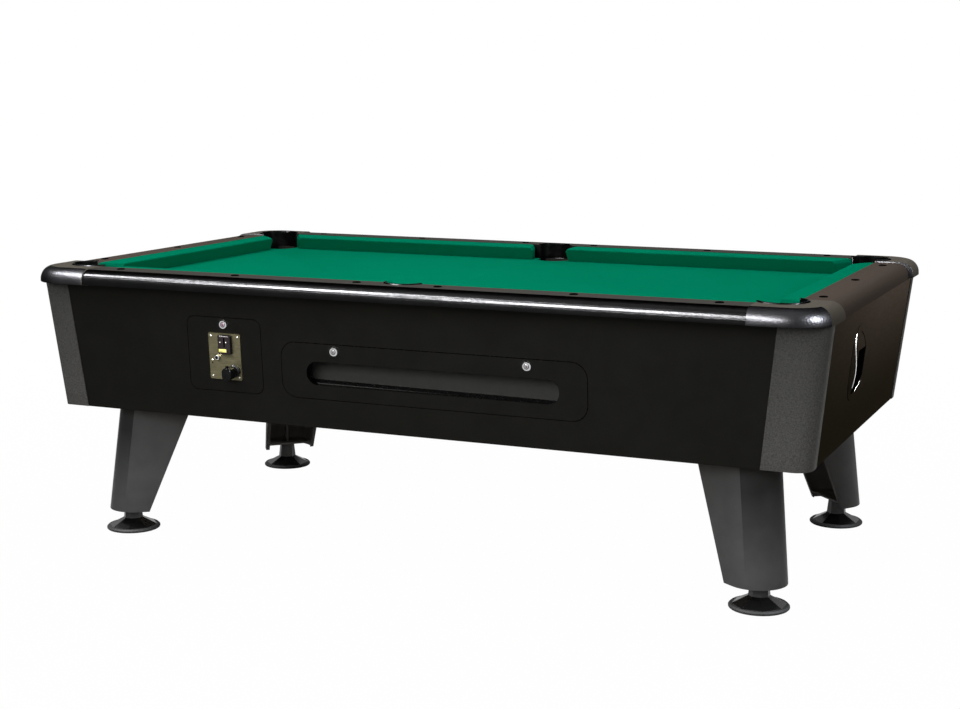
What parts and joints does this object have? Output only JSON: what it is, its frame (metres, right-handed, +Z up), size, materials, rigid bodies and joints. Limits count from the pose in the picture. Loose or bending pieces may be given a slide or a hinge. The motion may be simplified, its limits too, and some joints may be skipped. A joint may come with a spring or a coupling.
{
  "type": "coin-operated pool table",
  "caption": "Slate-bed pool table with coin release, ball return tray behind a lockable front door, end-wall cue-ball outlet, bent-sheet legs and screw-down levelling feet.",
  "frame": {"origin": "on the floor under the middle of the playing field", "axes": "+X along the length towards the cue-ball outlet, -Y towards the coin side, +Z up"},
  "size_m": [2.326, 1.3356, 0.8063],
  "materials": {
    "green_cloth": "matte",
    "slate": "matte",
    "black_board": "satin",
    "plywood": "matte",
    "black_rail": "satin",
    "casting": "satin",
    "grey_sheet": "satin",
    "leg_grey": "satin",
    "black_rubber": "matte",
    "black_plastic": "satin",
    "grey_plastic": "matte",
    "chrome": "gloss",
    "steel": "satin",
    "zinc_sheet": "satin",
    "mechanism_casing": "satin"
  },
  "bodies": {
    "cabinet": {"slate_bed": "slate", "bed_cloth": "green_cloth", "bed_frame": "plywood", "base_board": "plywood", "front_panel": "black_board", "rear_panel": "black_board", "left_end_panel": "black_board", "right_end_panel": "black_board", "corner_post_front_left": "grey_sheet", "corner_post_front_right": "grey_sheet", "corner_post_rear_left": "grey_sheet", "corner_post_rear_right": "grey_sheet", "corner_casting_front_left": "casting", "corner_casting_front_right": "casting", "corner_casting_rear_left": "casting", "corner_casting_rear_right": "casting", "long_rail_front": "black_rail", "long_rail_rear": "black_rail", "end_rail_left": "black_rail", "end_rail_right": "black_rail", "cushion_front_left": "green_cloth", "cushion_front_right": "green_cloth", "cushion_rear_left": "green_cloth", "cushion_rear_right": "green_cloth", "cushion_left_end": "green_cloth", "cushion_right_end": "green_cloth", "pocket_liner_front_left": "black_rubber", "pocket_liner_front_right": "black_rubber", "pocket_liner_rear_left": "black_rubber", "pocket_liner_rear_right": "black_rubber", "pocket_liner_front_middle": "black_rubber", "pocket_liner_rear_middle": "black_rubber", "cash_box": "zinc_sheet", "ball_gully_front": "grey_plastic", "ball_gully_rear": "grey_plastic", "ball_collector": "grey_plastic", "ball_tray": "grey_plastic", "cue_ball_chute": "grey_plastic", "outlet_bezel": "black_plastic", "leg_front_left": "leg_grey", "leg_front_right": "leg_grey", "leg_rear_left": "leg_grey", "leg_rear_right": "leg_grey"},
    "ball_door": {"ball_door": "black_board"},
    "ball_door_lock_left": {"ball_door_lock_left": "chrome"},
    "ball_door_lock_right": {"ball_door_lock_right": "chrome"},
    "coin_door": {"coin_door": "black_board", "coin_plate": "steel", "coin_entry_bezel": "black_plastic", "coin_mechanism": "mechanism_casing"},
    "coin_door_lock": {"coin_door_lock": "chrome"},
    "coin_knob": {"coin_knob": "black_plastic"},
    "return_button": {"return_button": "chrome"},
    "pull_rod": {"pull_rod": "steel"},
    "release_gate": {"release_gate": "steel"},
    "levelling_foot_front_left": {"levelling_foot_front_left": "black_plastic"},
    "levelling_foot_front_right": {"levelling_foot_front_right": "black_plastic"},
    "levelling_foot_rear_left": {"levelling_foot_rear_left": "black_plastic"},
    "levelling_foot_rear_right": {"levelling_foot_rear_right": "black_plastic"}
  },
  "joints": [
    {"name": "ball_door_hinge", "type": "hinge", "parent": "cabinet", "child": "ball_door", "pos_m": [0.086, -0.5749, 0.4685], "axis": [1, 0, 0], "range_deg": [0, 86]},
    {"name": "ball_door_lock_left_turn", "type": "hinge", "parent": "ball_door", "child": "ball_door_lock_left", "pos_m": [-0.1975, -0.5844, 0.605], "axis": [0, -0.9976, -0.0694], "range_deg": [0, 90]},
    {"name": "ball_door_lock_right_turn", "type": "hinge", "parent": "ball_door", "child": "ball_door_lock_right", "pos_m": [0.3695, -0.5844, 0.605], "axis": [0, -0.9976, -0.0694], "range_deg": [0, 90]},
    {"name": "coin_door_hinge", "type": "hinge", "parent": "cabinet", "child": "coin_door", "pos_m": [-0.5455, -0.5749, 0.4685], "axis": [1, 0, 0], "range_deg": [0, 86]},
    {"name": "coin_door_lock_turn", "type": "hinge", "parent": "coin_door", "child": "coin_door_lock", "pos_m": [-0.5455, -0.5882, 0.66], "axis": [0, -0.9976, -0.0694], "range_deg": [0, 90]},
    {"name": "coin_knob_turn", "type": "hinge", "parent": "coin_door", "child": "coin_knob", "pos_m": [-0.514, -0.5792, 0.5301], "axis": [0, -0.9976, -0.0694], "range_deg": [0, 90], "stiffness_Nm_per_rad": 0.2},
    {"name": "return_button_press", "type": "slide", "parent": "coin_door", "child": "return_button", "axis": [0, 0.9976, 0.0694], "range_m": [0, 0.005], "stiffness_N_per_m": 400},
    {"name": "pull_rod_slide", "type": "slide", "parent": "cabinet", "child": "pull_rod", "axis": [-1, 0, 0], "range_m": [0, 0.02]},
    {"name": "release_gate_swing", "type": "hinge", "parent": "cabinet", "child": "release_gate", "pos_m": [-0.3182, -0.5232, 0.594], "axis": [0, -1, 0], "range_deg": [0, 60]},
    {"name": "levelling_foot_front_left_screw", "type": "slide", "parent": "cabinet", "child": "levelling_foot_front_left", "axis": [0, 0, 1], "range_m": [-0.03, 0]},
    {"name": "levelling_foot_front_right_screw", "type": "slide", "parent": "cabinet", "child": "levelling_foot_front_right", "axis": [0, 0, 1], "range_m": [-0.03, 0]},
    {"name": "levelling_foot_rear_left_screw", "type": "slide", "parent": "cabinet", "child": "levelling_foot_rear_left", "axis": [0, 0, 1], "range_m": [-0.03, 0]},
    {"name": "levelling_foot_rear_right_screw", "type": "slide", "parent": "cabinet", "child": "levelling_foot_rear_right", "axis": [0, 0, 1], "range_m": [-0.03, 0]}
  ],
  "couplings": [
    {"joint": "pull_rod_slide", "follows": "coin_knob_turn", "m_per_rad": 0.012732},
    {"joint": "release_gate_swing", "follows": "coin_knob_turn", "ratio": 0.66666}
  ]
}
